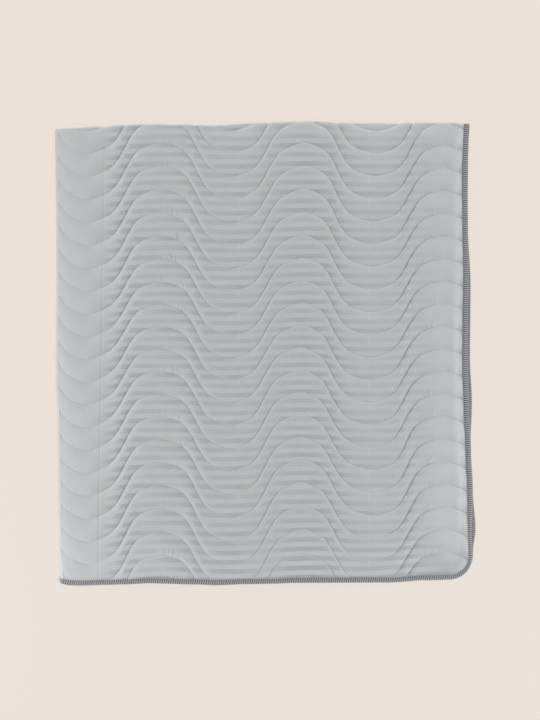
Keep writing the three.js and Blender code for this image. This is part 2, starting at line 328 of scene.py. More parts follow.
# The pressed crease: its painted highlight, the painted shadow left of it, and the notches
# in that shadow where the lowest quilting lines meet it
CREASE_SPAN = (0.4, 1.9)
CREASE_HIGHLIGHT = 0.06
CREASE_SHADOW_OFFSET = 2.6
CREASE_SHADOW_SPAN = (0.4, 2.4)
CREASE_SHADOW_AT_TOP = 0.03
CREASE_SHADOW_AT_BOTTOM = 0.09
NOTCH_SHADE = 0.09
NOTCH_HEIGHT = (1.0, 5.0)
NOTCH_WIDTH = (0.8, 3.0)
NOTCH_START = (780, 880)

# Painted light beside the side tape and at the lower left, and painted shade left of the
# pad's middle
TAPE_SIDE_LIGHT = 0.15
TAPE_SIDE_INSET = (14, 30)
TAPE_SIDE_START = (840, 870)
LOWER_LEFT_LIGHT = 0.05
LOWER_LEFT_END = (70, 130)
LOWER_LEFT_START = (820, 960)
MIDDLE_SHADE = 0.035
MIDDLE_START = (140, 230)
MIDDLE_END = (560, 690)

# Small upright puckers lie just above the quilting lines, as (place across, spread, share).
# They stand in loose groups that differ from line to line. Bump raises them, and a painted
# highlight lightens them.
PUCKERS = [(250.0, 30.0, 1.0), (553.0, 18.0, 0.5), (806.0, 14.0, 0.5), (842.0, 9.0, 0.4)]
PUCKER_SCALES = (0.16, 0.8)
PUCKER_LINE_STEP = 5.3
PUCKER_SPAN = (0.46, 0.62)
PUCKER_START = (0.66, 0.84)
PUCKER_END = (0.95, 1.0)
PUCKER_HIGHLIGHT = 0.07
PUCKER_HEIGHT = 2.2
GROUP_SCALE = 0.03
GROUP_SPAN = (0.42, 0.58)

# The fine relief: gathers along the quilting, the weave, and the pressed crease
GATHER_SCALES = (0.16, 1.7)
GATHER_REACH = (1.0, 13.0)
GATHER_HEIGHT = 0.7
WEAVE_SCALES = (2.0, 0.8)
WEAVE_HEIGHT = 0.12
CREASE_DEPTH = 0.36
CREASE_WIDTH = (0.0, 2.4)

# The tape's ribs in painted light and the valleys between them in painted shade, with more
# painted shade towards the cloth at the sides
LIT_RIB_TONE = (0.445, 0.436, 0.443, 1)
SHADED_VALLEY_TONE = (0.052, 0.05, 0.053, 1)
SIDE_LIP_SHADE = 0.3
SIDE_LIP_SPAN = (4.0, 9.5)

# How the cloth, the tape and the floor take the light
CLOTH_FINISH = {
    "Roughness": 0.5,
    "Specular IOR Level": 0.5,
    "Sheen Weight": 0.15,
    "Sheen Roughness": 0.5,
}
TAPE_FINISH = {"Roughness": 0.75, "Specular IOR Level": 0.3, "Sheen Weight": 0.2}
FLOOR_FINISH = {
    "Base Color": (0.06, 0.055, 0.05, 1),
    "Roughness": 0.9,
    "Specular IOR Level": 0.1,
    "Emission Color": (0.831, 0.753, 0.694, 1),
    "Emission Strength": 0.93,
}

# The floor's side, and how far it lies under the pad, in metres
FLOOR_SIZE = 30
FLOOR_DROP = 0.0004

# The lamps, as (name, place, width and height, power), in metres. All face the pad.
LAMPS = [
    ("window_at_left", (-1.8, -0.05, 0.45), (0.4, 1.6), 15),
    ("window_at_right", (2.2, 0, 0.5), (0.5, 2), 15),
    ("window_at_bottom", (0, -2.2, 0.5), (2, 0.5), 10.6),
    ("window_at_top", (0, 1.6, 0.25), (1.6, 0.3), 9.7),
    ("lamp_at_lower_left", (-1.1, -0.7, 0.14), (0.12, 0.7), 3.2),
    ("lamp_at_lower_right", (1.2, -0.8, 0.2), (0.2, 0.6), 3.7),
]
SKY_TONE = (0.97, 0.98, 1.0, 1)
SKY_STRENGTH = 0.715

# The camera looks straight down from its place and sees as far as its reach. At the seen
# distance its sensor, in millimetres, covers the seen length, in metres.
CAMERA_PLACE = (0.0098, -0.0145, 4.53)
CAMERA_REACH = 50
SENSOR = 36
SEEN_DISTANCE = 4.5
SEEN_LENGTH = 1.553854


def smoothstep(value, low, high):
    share = np.clip((value - low) / (high - low), 0, 1)
    return share * share * (3 - 2 * share)


def mix(first, second, share):
    return first + (second - first) * share


def bell(value, middle, spread):
    return np.exp(-(((value - middle) / spread) ** 2))


def read_off(table, place, column=1):
    """The value in a column of a table, on straight lines between its rows."""
    return np.interp(place, table[:, 0], table[:, column])


def bow_at(table, distance):
    """The bow in a table, on smooth steps between its rows."""
    places, bows = np.array(table, float).T
    row = np.clip(np.searchsorted(places, distance) - 1, 0, len(places) - 2)
    share = smoothstep(distance, places[row], places[row + 1])
    return mix(bows[row], bows[row + 1], share)


def blend_between(x, down, places, rows):
    """The value in a table that has places across and rows down the pad."""
    rows = np.array(rows)
    count = len(places)
    across = np.array([read_off(rows, down, 1 + column) for column in range(count)])
    # Just short of the last place, so that there is always a next one
    place = np.clip(np.interp(x, places, np.arange(count)), 0, count - 1.001)
    before = place.astype(int)
    first = np.take_along_axis(across, before[None], 0)[0]
    second = np.take_along_axis(across, before[None] + 1, 0)[0]
    return mix(first, second, place - before)


def inset_from_rounded_edge(from_side, from_end):
    side = CORNER_RADIUS - from_side
    end = CORNER_RADIUS - from_end
    outside = np.hypot(np.maximum(side, 0), np.maximum(end, 0))
    return CORNER_RADIUS - outside - np.minimum(np.maximum(side, end), 0)


def nearness_to_corner(from_side, from_end):
    """How near a place is to the corner of a side and an end, from 0 to 1."""
    off_side = from_side / CORNER_SPREAD
    off_end = from_end / CORNER_SPREAD
    return np.exp(-(off_side**2) - off_end**2)


def room_at(x, down):
    """The height of one layer at a place seen from above, the same for all four layers."""
    crease = mix(CREASE_AT_TOP, CREASE_AT_BOTTOM, down / FOLDED_LENGTH)
    fold_start = bow_at(LEFT_BOW, down) + LEFT_BULGE * 2 * FOLD_ROOM
    off_crease = 1 - np.clip((x - fold_start) / (crease - fold_start), 0, 1)
    room = FULL_ROOM - (FULL_ROOM - FOLD_ROOM) * off_crease**2
    off_top = 1 - np.clip(down / TOP_SLOPE, 0, 1)
    room = room - TOP_DROP * off_top**2
    from_side = FOLDED_WIDTH - TAPE_REACH + bow_at(OUTER_RIGHT_BOW, down) - x
    from_end = FOLDED_LENGTH - TAPE_REACH + bow_at(BOTTOM_BOW, x) - down
    inset = inset_from_rounded_edge(from_side, from_end)
    off_mitre = np.abs(from_side - from_end)
    inset = inset - 0.5 * (np.hypot(off_mitre, MITRE_ROUNDING) - off_mitre)
    off_plateau = 1 - np.clip((inset - SLOPE_START) / (SLOPE_END - SLOPE_START), 0, 1)
    return mix(room, EDGE_ROOM, off_plateau**2)


def wave_at(x):
    """The height of a quilting line over its own middle height, and its slope."""
    after = np.clip(np.searchsorted(WAVE_STOPS, x, side="right"), 1, len(WAVE_STOPS) - 1)
    before = after - 1
    quarter = WAVE_STOPS[after] - WAVE_STOPS[before]
    share = (x - WAVE_STOPS[before]) / quarter
    falling = before % 2 == 0
    extreme = np.where(falling, before, after)
    turn = np.where(falling, 1 - share, share) * np.pi / 2
    main = 1 + WAVE_FULLNESS - WAVE_STEEPNESS
    shape = main * np.sin(turn) + WAVE_FULLNESS * np.sin(3 * turn)
    shape = shape + WAVE_STEEPNESS * np.sin(5 * turn)
    rise = main * np.cos(turn) + 3 * WAVE_FULLNESS * np.cos(3 * turn)
    rise = rise + 5 * WAVE_STEEPNESS * np.cos(5 * turn)
    side = np.where(extreme % 4 == 0, 1, -1) * WAVE_HEIGHT
    slope = side * rise * np.where(falling, -1, 1) * np.pi / 2 / quarter
    return side * shape, slope


class Place:
    """Where places on the flat sheet lie after both folds, and how the quilting is there."""

    def __init__(self, u, v):
        u, v = np.broadcast_arrays(np.asarray(u, float), np.asarray(v, float))
        self.u, self.v = u, v
        self.left_angle = np.pi / 2 * (1 - np.clip(u / LEFT_TURN, -1, 1))
        self.top_angle = np.pi / 2 * (1 - np.clip(v / TOP_TURN, -1, 1))
        self.lower = (1 - np.cos(self.left_angle)) / 2
        self.inner = (1 - np.cos(self.top_angle)) / 2
        self.seen = (1 - self.lower) * (1 - self.inner)
        self.find_place()
        self.find_cloth()
        self.find_quilting()

    def find_place(self):
        """Lays the layers out between the two folds and the two bound edges."""
        across = np.maximum(np.abs(self.u) - LEFT_TURN, 0) / (HALF_WIDTH - LEFT_TURN)
        along = np.maximum(np.abs(self.v) - TOP_TURN, 0) / (HALF_LENGTH - TOP_TURN)
        sideways = across * FOLDED_WIDTH
        downwards = along * FOLDED_LENGTH
        self.left = bow_at(LEFT_BOW, downwards) + LEFT_BULGE * 2 * FOLD_ROOM
        self.top = TOP_BULGE * FULL_ROOM - bow_at(TOP_BOW, sideways)
        outer_bow = bow_at(OUTER_RIGHT_BOW, downwards)
        upper_bow = mix(outer_bow, bow_at(INNER_RIGHT_BOW, downwards), self.inner)
        right_bow = mix(upper_bow, bow_at(LOWER_RIGHT_BOW, downwards), self.lower)
        right = FOLDED_WIDTH - TAPE_REACH + right_bow
        hidden_bow = bow_at(HIDDEN_BOTTOM_BOW, sideways)
        bottom_bow = mix(hidden_bow, bow_at(BOTTOM_BOW, sideways), self.seen)
        bottom = FOLDED_LENGTH - TAPE_REACH + bottom_bow
        curl = BOTTOM_CURL * np.sin(self.left_angle) ** 2 * (1 - self.inner)
        curl = curl * along**CURL_SHARPNESS
        self.x = mix(self.left, right, across) + self.overhang() * self.seen
        self.down = mix(self.top, bottom, along) - curl
        self.room = room_at(self.x, self.down)

    def overhang(self):
        """How far the cloth and the tape's inner part are pushed outwards near the corner."""
        inset = self.inset()
        near = bell(np.abs(self.v), OVERHANG_PLACE, OVERHANG_SPREAD)
        inwards = 1 - smoothstep(inset, BAND_INSET, BAND_INSET + OVERHANG_DEPTH)
        return OVERHANG * near * inwards * np.clip(inset / BAND_INSET, 0, 1)

    def find_cloth(self):
        """Finds the place on the flat cloth, in the seen layer's own measure."""
        turned_u = np.clip(self.u, -LEFT_TURN, LEFT_TURN) - LEFT_TURN
        turned_v = np.clip(self.v, -TOP_TURN, TOP_TURN) - TOP_TURN
        x = self.left + np.where(self.u < 0, -1, 1) * (self.x - self.left) + turned_u
        down = self.top + np.where(self.v < 0, -1, 1) * (self.down - self.top) + turned_v
        self.cloth_x = x
        self.cloth_down = down - blend_between(x, down, SLIP_PLACES, CLOTH_SLIP)
        self.wander = blend_between(x, down, WANDER_PLACES, LINE_WANDER)

    def find_quilting(self):
        """Numbers the place among the quilting lines, which have the whole numbers."""
        wave, slope = wave_at(self.cloth_x - self.wander)
        self.swing = wave / WAVE_HEIGHT
        for middle, spread, moved in FLAT_TURNS:
            wave = wave - moved * bell(self.cloth_x, middle, spread)
        self.line = (self.cloth_down - FIRST_LINE + wave) / LINE_PITCH
        off_line = np.abs(self.line - np.round(self.line))
        self.across_line = off_line * LINE_PITCH / np.hypot(1, slope)

    def inset(self):
        """The distance from the raw edge of the flat sheet."""
        return inset_from_rounded_edge(HALF_WIDTH - np.abs(self.u), HALF_LENGTH - np.abs(self.v))

    def raised(self, lift):
        """The points at a height over the middle between two layers, back to back."""
        settled = lift + HALF_GAP * self.lower * (1 - self.inner)
        from_middle = self.room + settled * np.cos(self.top_angle)
        x = self.x - LEFT_BULGE * from_middle * np.sin(self.left_angle)
        y = TOP_BULGE * settled * np.sin(self.top_angle) - self.down
        z = 2 * self.room + from_middle * np.cos(self.left_angle)
        return np.stack([x, y, np.maximum(z, 0)], axis=-1)


def tuck_at(place):
    """How far the pad has filled out from its thin rim in the tape, from 0 to 1."""
    share = np.clip((place.inset() - BAND_INSET) / TUCK_LENGTH, 0, 1)
    return np.sin(np.pi / 2 * share)


def groove_at(place):
    """The depth under the top of the puffs, on the outer faces of the folded pad."""
    stitch = STITCH_DEPTH * np.exp(-place.across_line / STITCH_REACH)
    lean = read_off(PUFF_FORMS, place.cloth_x, 1)
    depth = read_off(PUFF_FORMS, place.cloth_x, 2) * PUFF_DEPTH
    share_down = np.mod(place.line, 1) ** (PUFF_SKEW**lean)
    puff = depth * (1 - 2 * share_down) ** 2
    off_fold = smoothstep(np.abs(place.x), FLAT_STRIP_START, FLAT_STRIP_END)
    share = mix(FOLD_GROOVE_SHARE, 1, off_fold)
    hidden = smoothstep(-place.v, TOP_TURN / 2, TOP_TURN)
    return (stitch + puff) * share * (1 - hidden)


def unevenness_at(place):
    """Slow swells and ripples of the top layer, a fraction of a millimetre high."""
    x, down = place.cloth_x, place.cloth_down
    swell_across, swell_down = SWELL_LENGTHS
    sway = SWELL_SWAY * np.sin(down / SWELL_SWAY_LENGTH)
    swell = SWELL_HEIGHT * np.sin(x / swell_across + sway)
    swell = swell * np.sin(down / swell_down + SWELL_START)
    ripple = RIPPLE_HEIGHT
    for across, along in RIPPLE_LENGTHS:
        ripple = ripple * np.sin(x / across + down / along)
    return (swell + ripple) * (place.lower < 0.5) * (place.inner < 0.5)


def rim_puff_at(place):
    """The soft roll inside the tape of the outer layers."""
    from_side = HALF_WIDTH - np.abs(place.u)
    from_end = HALF_LENGTH - np.abs(place.v)
    at_side = smoothstep(from_end - from_side, -RIM_PUFF_CHANGE, RIM_PUFF_CHANGE)
    height, inset, spread = (
        mix(end, side, at_side) for end, side in zip(RIM_PUFF_AT_END, RIM_PUFF_AT_SIDE)
    )
    off_corner = 1 - nearness_to_corner(from_side, from_end)
    return height * bell(place.inset(), inset, spread) * off_corner * (place.inner < 0.5)


def front_points(place):
    """The points of the quilted face of the sheet."""
    off_turn = np.maximum(place.u - LEFT_TURN, 0)
    shoulder = SHOULDER_DEPTH * np.exp(-off_turn / SHOULDER_REACH) * (1 - place.lower)
    full = place.room - HALF_GAP
    crown = full - SWELL_CLEARANCE + unevenness_at(place) + rim_puff_at(place) - shoulder
    crown = np.where(place.lower > 0.5, full, crown)
    tuck = tuck_at(place)
    groove = groove_at(place) * mix(RIM_GROOVE_SHARE, 1, tuck)
    return place.raised(mix(PAD_OVER, crown, tuck) - groove)


def back_points(place):
    """The points of the plain face of the sheet, which is folded inwards."""
    return place.raised(mix(PAD_UNDER, HALF_GAP, tuck_at(place)))


def sheen_and_satin_measures(normals, cloth_x, cloth_down):
    """The painted shade, how striped the cloth is, and how much of the puckers it has."""
    towards_left = -normals[:, 0]
    way_across, way_up = RIGHT_WINDOW_WAY
    towards_right = way_across * normals[:, 0] + way_up * normals[:, 1]
    facing = mix(towards_left, towards_right, smoothstep(cloth_x, *WINDOW_CHANGE))
    painted_shade = np.clip(1 - facing / SHEEN_LEAN, 0, read_off(PAINTED_SHADE_LIMITS, cloth_x))
    painted_shade = painted_shade + STEEP_SHADE * smoothstep(towards_left, *STEEP_LEAN)
    in_corner = nearness_to_corner(FOLDED_WIDTH - cloth_x, FOLDED_LENGTH - cloth_down)
    painted_shade = painted_shade + CORNER_SHADE * in_corner
    striped = read_off(SATIN_SHARES, cloth_x)
    puckered = sum(share * bell(cloth_x, middle, spread) for middle, spread, share in PUCKERS)
    return np.stack([painted_shade, striped, puckered], axis=-1)


def new_mesh(name, points, shift, faces):
    mesh = bpy.data.meshes.new(name)
    mesh.from_pydata(((points + shift) * METRE).tolist(), [], faces.tolist())
    mesh.validate()
    mesh.shade_smooth()
    return mesh


def store(mesh, name, vectors):
    """Keeps a vector with each point of a mesh, for its material to read."""
    layer = mesh.attributes.new(name, "FLOAT_VECTOR", "POINT")
    layer.data.foreach_set("vector", vectors.astype(np.float32).ravel())


class Skin:
    """Points, triangles and cloth measures that grow line by line into one mesh."""

    def __init__(self):
        self.points = []
        self.cloth = []
        self.quilt = []
        self.triangles = []
        self.count = 0

    def line(self, u, v, surface, keys):
        """Adds a line of points, and returns their numbers with the keys to join them by."""
        place = Place(u, v)
        points = surface(place)
        self.points.append(points)
        self.cloth.append(np.stack([place.cloth_x, place.cloth_down, place.inset()], axis=-1))
        self.quilt.append(np.stack([place.line, place.across_line, place.swing], axis=-1))
        numbers = np.arange(self.count, self.count + len(points))
        self.count += len(points)
        return numbers, np.asarray(keys, float)

    def join(self, first, second):
        """Joins two lines with triangles, taking the next point by the smaller key."""
        first_numbers, first_keys = first
        second_numbers, second_keys = second
        keys = np.concatenate([first_keys[1:], second_keys[1:]])
        order = np.argsort(keys, kind="stable")
        on_first = order < len(first_keys) - 1
        i = np.cumsum(on_first) - on_first
        j = np.cumsum(~on_first) - ~on_first
        near = first_numbers[i]
        far = second_numbers[j]
        third = np.where(
            on_first,
            first_numbers[np.minimum(i + 1, len(first_numbers) - 1)],
            second_numbers[np.minimum(j + 1, len(second_numbers) - 1)],
        )
        self.triangles.append(np.stack([near, third, far], axis=-1))

    def join_all(self, lines):
        for before, after in zip(lines, lines[1:]):
            self.join(before, after)

    def mesh(self, name, shift):
        points = np.concatenate(self.points)
        mesh = new_mesh(name, points, shift, np.concatenate(self.triangles))
        cloth = np.concatenate(self.cloth)
        store(mesh, "cloth", cloth)
        store(mesh, "quilt", np.concatenate(self.quilt))
        normals = np.empty(len(points) * 3, np.float32)
        mesh.vertex_normals.foreach_get("vector", normals)
        store(mesh, "sheen_and_satin", sheen_and_satin_measures(normals.reshape(-1, 3), cloth[:, 0], cloth[:, 1]))
        return mesh


BAND_RADIUS = CORNER_RADIUS - BAND_INSET
CORNER_ANGLES = np.radians(np.linspace(0, 90, CORNER_STEPS + 1))


def evenly(start, end, spacing):
    return np.linspace(start, end, math.ceil((end - start) / spacing) + 1)


def turn_stations(turn, steps):
    return turn * np.sin(np.linspace(0, np.pi / 2, steps + 1))


def stations(turn, turn_steps, half, spacing, slope_spacing):
    """Places from a fold out to the band, with a spacing of their own where the pad slopes."""
    middle = evenly(turn, half - SLOPE_END, spacing)
    slope = evenly(half - SLOPE_END, half - CORNER_RADIUS, slope_spacing)
    edge = half - (CORNER_RADIUS - BAND_RADIUS * np.cos(CORNER_ANGLES))[::-1]
    return np.concatenate([turn_stations(turn, turn_steps)[:-1], middle, slope[1:], edge[1:]])


def column_stations(spacing, slope_spacing):
    return stations(LEFT_TURN, LEFT_TURN_STEPS, HALF_WIDTH, spacing, slope_spacing)


SEEN_COLUMNS = column_stations(SEEN_SPACING, SEEN_SPACING)
UNDER_COLUMNS = column_stations(UNDER_SPACING, UNDER_SPACING)
PLAIN_COLUMNS = column_stations(PLAIN_COLUMN_SPACING, PLAIN_SLOPE_SPACING)
PLAIN_ROWS = stations(TOP_TURN, TOP_TURN_STEPS, HALF_LENGTH, PLAIN_ROW_SPACING, PLAIN_SLOPE_SPACING)


def band_end(u):
    """How far down a column the pad's thin rim in the tape begins."""
    into_corner = np.maximum(np.abs(u) - (HALF_WIDTH - CORNER_RADIUS), 0)
    rise = np.sqrt(np.maximum(BAND_RADIUS**2 - into_corner**2, 0))
    return HALF_LENGTH - CORNER_RADIUS + rise


def plain_half_column(u):
    end = band_end(u)
    return np.append(PLAIN_ROWS[PLAIN_ROWS < end - LEAST_PLAIN_STEP], end)


def inner_rows(u):
    """Rows from the bottom of an inner layer, over the top fold, to where the outer starts."""
    inner = -plain_half_column(u)[::-1]
    return np.concatenate([inner, turn_stations(TOP_TURN, TOP_TURN_STEPS)[1:]])


def quilted_rows(u):
    """Places down a column that follow the quilting lines, with their numbers among them."""
    rows_in_pitch = (SEEN_ROWS if u >= 0 else UNDER_ROWS) / LINE_PITCH
    wanted = (np.arange(*LINE_NUMBERS)[:, None] + rows_in_pitch[None, :]).ravel()
    v = wanted * LINE_PITCH
    for _ in range(ROW_SEARCH_STEPS):
        v = v + LINE_PITCH * (wanted - Place(u, v).line)
        v = np.clip(v, TOP_TURN, HALF_LENGTH + ROW_SEARCH_MARGIN)
    kept = (v > TOP_TURN + LEAST_STEP) & (v < band_end(u) - LEAST_STEP)
    return v[kept], wanted[kept]


def add_front(skin):
    """The quilted face, whose columns have one line for each layer."""
    columns = np.concatenate([-UNDER_COLUMNS[:0:-1], SEEN_COLUMNS])
    inner_lines = []
    outer_lines = []
    for u in columns:
        rows = inner_rows(u)
        inner_lines.append(skin.line(u, rows, front_points, rows))
        v, wanted = quilted_rows(u)
        ends = np.array([TOP_TURN, band_end(u)])
        end_keys = Place(u, ends).line
        v = np.concatenate([ends[:1], v, ends[1:]])
        keys = np.concatenate([end_keys[:1], wanted, end_keys[1:]])
        outer_lines.append(skin.line(u, v, front_points, keys))
    skin.join_all(inner_lines)
    skin.join_all(outer_lines)


def add_back(skin):
    """The plain face, which is turned the other way."""
    columns = np.concatenate([-PLAIN_COLUMNS[:0:-1], PLAIN_COLUMNS])
    lines = []
    for u in columns:
        half = plain_half_column(u)
        rows = np.concatenate([-half[:0:-1], half])
        lines.append(skin.line(u, rows, back_points, rows))
    for before, after in zip(lines, lines[1:]):
        skin.join(after, before)


def quarter_edge(u_sign, v_sign):
    """The raw edge of a quarter of the sheet, from the top fold round to the left fold."""
    side = PLAIN_ROWS[PLAIN_ROWS < HALF_LENGTH - CORNER_RADIUS + LEAST_PLAIN_STEP]
    angles = CORNER_ANGLES[1:-1]
    columns = SEEN_COLUMNS if u_sign > 0 and v_sign > 0 else UNDER_COLUMNS
    end = columns[columns < HALF_WIDTH - CORNER_RADIUS + LEAST_PLAIN_STEP][::-1]
    u = np.concatenate([
        np.full(len(side), HALF_WIDTH),
        HALF_WIDTH - CORNER_RADIUS * (1 - np.cos(angles)),
        end,
    ])
    v = np.concatenate([
        side,
        HALF_LENGTH - CORNER_RADIUS * (1 - np.sin(angles)),
        np.full(len(end), HALF_LENGTH),
    ])
    return u_sign * u, v_sign * v


def edge_distance(u, v):
    """The distance along the edge of a quarter, from the top fold."""
    straight_side = HALF_LENGTH - CORNER_RADIUS
    into_u = np.abs(u) - (HALF_WIDTH - CORNER_RADIUS)
    into_v = np.abs(v) - straight_side
    corner = straight_side + CORNER_RADIUS * np.arctan2(into_v, into_u)
    end = straight_side + CORNER_RADIUS * np.pi / 2 - into_u
    return np.where(into_v <= 0, np.abs(v), np.where(into_u <= 0, end, corner))


def outermost_rows(u, v_sign):
    """Places down the outermost column of a quarter, the same as on the face beside it."""
    if v_sign < 0:
        return plain_half_column(u)
    turn = turn_stations(TOP_TURN, TOP_TURN_STEPS)
    return np.concatenate([turn, quilted_rows(u)[0], [band_end(u)]])


def band_line(skin, u_sign, v_sign, rows, columns, surface):
    """A line down the outermost column of a quarter and along the ends of the others."""
    outermost = columns[-1]
    ends = columns[:-1][::-1]
    u = np.concatenate([np.full(len(rows), outermost), ends]) * u_sign
    v = np.concatenate([rows, band_end(ends)]) * v_sign
    return skin.line(u, v, surface, edge_distance(u, v))


def add_rim(skin):
    """The thin rim inside the tape, and the raw edge itself."""
    for u_sign in (1, -1):
        columns = SEEN_COLUMNS if u_sign > 0 else UNDER_COLUMNS
        u = u_sign * columns[-1]
        for v_sign in (1, -1):
            rows = outermost_rows(u, v_sign)
            front_band = band_line(skin, u_sign, v_sign, rows, columns, front_points)
            plain = plain_half_column(u)
            back_band = band_line(skin, u_sign, v_sign, plain, PLAIN_COLUMNS, back_points)
            edge_u, edge_v = quarter_edge(u_sign, v_sign)
            keys = edge_distance(edge_u, edge_v)
            front_edge = skin.line(edge_u, edge_v, front_points, keys)
            back_edge = skin.line(edge_u, edge_v, back_points, keys)
            loops = [front_band, front_edge, back_edge, back_band]
            if u_sign * v_sign < 0:
                loops.reverse()
            skin.join_all(loops)


def tape_loop():
    """Places all round the raw edge, with the outward direction and the step in the rib."""
    side = HALF_LENGTH - CORNER_RADIUS
    end = HALF_WIDTH - CORNER_RADIUS
    corner = CORNER_RADIUS * np.pi / 2
    quarter = side + corner + end
    count = RIB_STEPS * round(quarter / RIB_PITCH)
    distance = np.arange(count) * quarter / count
    angle = np.clip((distance - side) / CORNER_RADIUS, 0, np.pi / 2)
    u = end + CORNER_RADIUS * np.cos(angle) - np.maximum(distance - side - corner, 0)
    v = np.minimum(distance, side) + CORNER_RADIUS * np.sin(angle)
    rib = np.arange(count) % RIB_STEPS
    quarter_places = np.stack([u, v, np.cos(angle), np.sin(angle), rib], axis=-1)
    last = np.array([[0, HALF_LENGTH, 0, 1, 0]])
    whole = np.concatenate([quarter_places, last])
    signs = [(1, 1, 1), (-1, 1, -1), (-1, -1, 1), (1, -1, -1)]
    parts = []
    for u_sign, v_sign, direction in signs:
        part = whole * np.array([u_sign, v_sign, u_sign, v_sign, 1])
        parts.append(part[::direction][:-1])
    return np.concatenate(parts)


def tape_section():
    """The tape's section, as (inset from the edge, lift, share of the rib's depth)."""
    half = (TAPE_OVER - TAPE_UNDER) / 2
    bevel_in, bevel_down = OVER_BEVEL
    outside = [(TAPE_LIP, TAPE_OVER - bevel_down, LIP_RIB_SHARE)]
    outside += [(inset, TAPE_OVER, 1) for inset in (TAPE_LIP - bevel_in, *FACE_PLACES)]
    for degrees in (90, 60, 30, 0, -30, -60, -90):
        angle = math.radians(degrees)
        inset = TAPE_TURN_START - (TAPE_TURN_START + TAPE_REACH) * math.cos(angle)
        outside.append((inset, TAPE_MIDDLE + half * math.sin(angle), 1))
    bevel_in, bevel_up = UNDER_BEVEL
    outside.append((TAPE_LIP - bevel_in, TAPE_UNDER, 1))
    outside.append((TAPE_LIP, TAPE_UNDER + bevel_up, LIP_RIB_SHARE))
    inside = [
        (TAPE_LIP, TAPE_UNDER + TAPE_WALL, 0),
        (-TAPE_SPARE, TAPE_UNDER + TAPE_WALL, 0),
        (-TAPE_SPARE, TAPE_OVER - TAPE_WALL, 0),
        (TAPE_LIP, TAPE_OVER - TAPE_WALL, 0),
    ]
    return np.array(outside + inside)


def tape_points():
    """The points of the tape's section all along its loop, with what its material reads."""
    loop = tape_loop()
    section = tape_section()
    u, v, out_u, out_v, rib = (loop[:, [column]] for column in range(5))
    ridge = 0.5 - 0.5 * np.cos(2 * np.pi * rib / RIB_STEPS)
    inset, lift, ribbed = (section[:, column][None, :] for column in range(3))
    sunk = RIB_DEPTH * (1 - ridge) * ribbed
    lift = lift - sunk * np.clip((lift - TAPE_MIDDLE) / RIB_FADE, -1, 1)
    reached = inset + sunk * (inset < 0) + SIDE_LIP * np.abs(out_u) * (inset > SIDE_LIP_START)
    at_fold = bell(u, 0, FOLD_SPREAD) * (v > 0)
    reached = reached - LIP_DRAWN_IN_AT_FOLD * at_fold * np.maximum(reached, 0)
    place = Place(u - reached * out_u, v - reached * out_v)
    across = np.clip((inset + TAPE_REACH) / (TAPE_LIP + TAPE_REACH), 0, 1)
    on_seen_face = place.seen * (ribbed > 0) * (lift > TAPE_MIDDLE)
    crown = TAPE_CROWN * np.sin(np.pi * across) * on_seen_face
    measures = np.stack(np.broadcast_arrays(ridge, inset, np.abs(out_u)), axis=-1)
    return place.raised(lift + crown), measures


def binding_mesh(shift):
    points, measures = tape_points()
    count, sides = points.shape[:2]
    numbers = np.arange(count * sides).reshape(count, sides)
    along = np.roll(numbers, -1, axis=0)
    faces = np.stack(
        [numbers, along, np.roll(along, -1, axis=1), np.roll(numbers, -1, axis=1)], axis=-1
    )
    mesh = new_mesh("ribbed_binding", points.reshape(-1, 3), shift, faces.reshape(-1, 4))
    store(mesh, "tape", measures)
    return mesh


class Nodes:
    """A short way to add shader nodes, each fed by numbers or by the ones before it."""

    def __init__(self, material, finish):
        material.use_nodes = True
        self.tree = material.node_tree
        self.shader = self.tree.nodes["Principled BSDF"]
        for name, value in finish.items():
            self.shader.inputs[name].default_value = value

    def add(self, kind, inputs=None, **settings):
        node = self.tree.nodes.new(kind)
        for name, value in settings.items():
            setattr(node, name, value)
        for name, value in (inputs or {}).items():
            self.put(node.inputs[name], value)
        return node

    def put(self, socket, value):
        if isinstance(value, bpy.types.NodeSocket):
            self.tree.links.new(value, socket)
        else:
            socket.default_value = value

    def math(self, operation, first, second=0.0, third=0.0):
        node = self.add("ShaderNodeMath", {0: first, 1: second, 2: third}, operation=operation)
        return node.outputs[0]

    def plus(self, total, *others):
        for other in others:
            total = self.math("ADD", total, other)
        return total

    def minus(self, first, second):
        return self.math("SUBTRACT", first, second)

    def times(self, product, *others):
        for other in others:
            product = self.math("MULTIPLY", product, other)
        return product

    def distance(self, value, middle=0.0):
        return self.math("ABSOLUTE", self.minus(value, middle))

    def change(self, value, span, before, after):
        """Goes smoothly from one number to another over a span of the value."""
        low, high = span
        inputs = {"Value": value, "From Min": low, "From Max": high, "To Min": before, "To Max": after}
        return self.add("ShaderNodeMapRange", inputs, interpolation_type="SMOOTHSTEP").outputs[0]

    def fade_in(self, value, span, most=1.0):
        return self.change(value, span, 0.0, most)

    def fade_out(self, value, span, most=1.0):
        return self.change(value, span, most, 0.0)

    def colours(self, share, first, second):
        inputs = {"Factor": share, 6: first, 7: second}
        return self.add("ShaderNodeMix", inputs, data_type="RGBA").outputs[2]

    def shaded(self, colour, shade):
        inputs = {0: 1.0, 6: colour, 7: self.vector(shade, shade, shade)}
        node = self.add("ShaderNodeMix", inputs, data_type="RGBA", blend_type="MULTIPLY")
        return node.outputs[2]

    def attribute(self, name):
        node = self.add("ShaderNodeAttribute", attribute_name=name)
        split = self.add("ShaderNodeSeparateXYZ", {0: node.outputs["Vector"]})
        return [split.outputs[axis] for axis in range(3)]

    def vector(self, x, y, z):
        return self.add("ShaderNodeCombineXYZ", {0: x, 1: y, 2: z}).outputs[0]

    def stretched(self, x, y, scales, z):
        """A place in a pattern that has different scales across and down."""
        across, down = scales
        return self.vector(self.times(x, across), self.times(y, down), z)

    def noise(self, vector, scale=1.0, detail=1.0, roughness=0.5):
        inputs = {"Vector": vector, "Scale": scale, "Detail": detail, "Roughness": roughness}
        return self.add("ShaderNodeTexNoise", inputs).outputs["Fac"]


